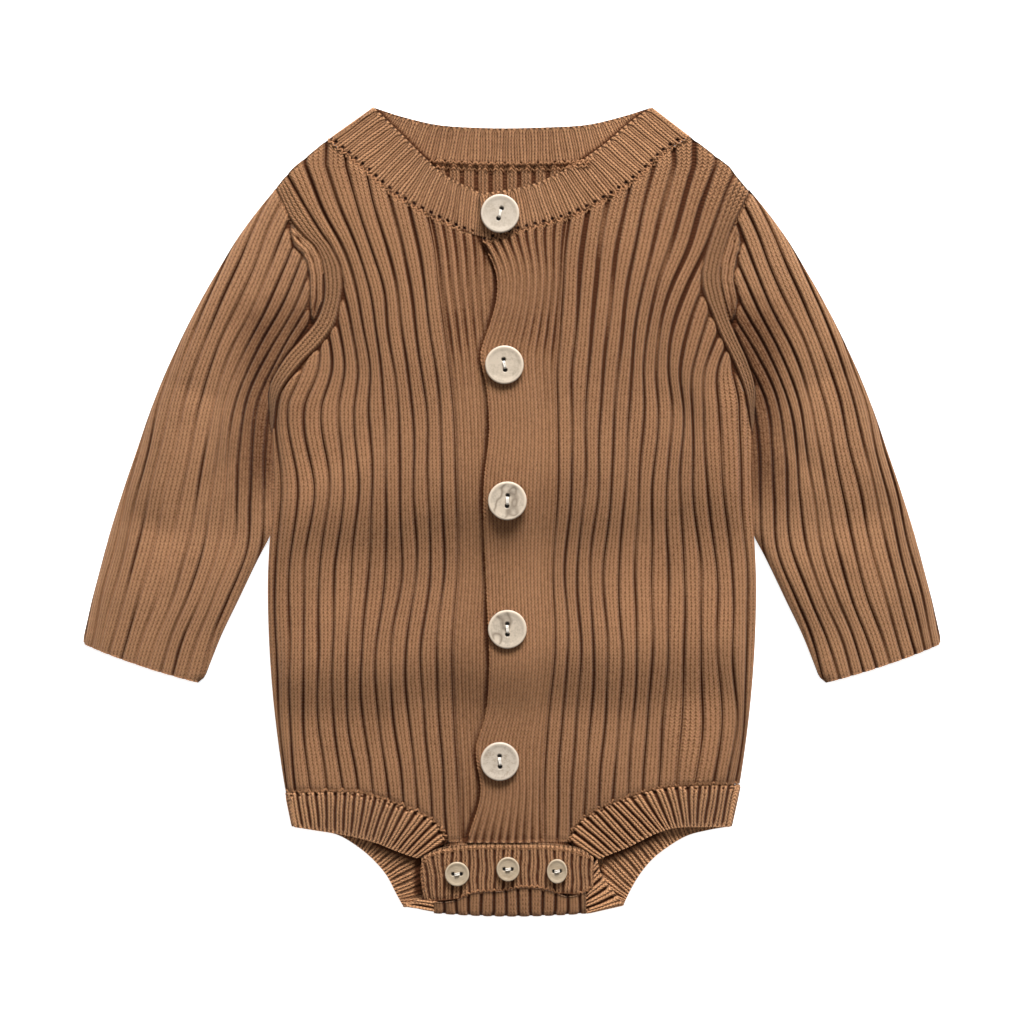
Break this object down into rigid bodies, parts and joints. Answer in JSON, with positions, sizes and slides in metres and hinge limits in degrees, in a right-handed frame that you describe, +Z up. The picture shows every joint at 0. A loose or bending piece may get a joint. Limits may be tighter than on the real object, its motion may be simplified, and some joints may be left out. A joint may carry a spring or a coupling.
{
  "type": "knit baby romper",
  "caption": "Long-sleeved baby romper in wide-ribbed wool knit, with a buttoned front, ribbed neckband and leg bands and a buttoned crotch flap, laid flat on its back",
  "frame": {"origin": "centre of the garment's outline, on the surface it lies on", "axes": "+X runs towards the wearer's left sleeve, +Y towards the neck, +Z up out of the front"},
  "size_m": [0.412, 0.3882, 0.0156],
  "materials": {
    "body_wool": "thick wide-ribbed wool knit, warm brown, matt with a short soft nap",
    "sleeve_wool": "the same wide-ribbed wool knit, a touch lighter where it lies flat",
    "band_wool": "narrow-ribbed wool knit, warm brown, matt",
    "large_button": "cream mottled button, satin to gloss",
    "small_button": "pale tan mottled button, satin"
  },
  "bodies": {
    "root": {"back_panel": "body_wool", "front_right": "body_wool", "front_left": "body_wool", "sleeve_right": "sleeve_wool", "sleeve_left": "sleeve_wool", "neckband": "band_wool", "leg_band_right": "band_wool", "leg_band_left": "band_wool", "crotch_band_front": "band_wool", "crotch_band_back": "band_wool", "button_1": "large_button", "button_2": "large_button", "button_3": "large_button", "button_4": "large_button", "button_5": "large_button", "crotch_button_1": "small_button", "crotch_button_2": "small_button", "crotch_button_3": "small_button"}
  },
  "joints": []
}
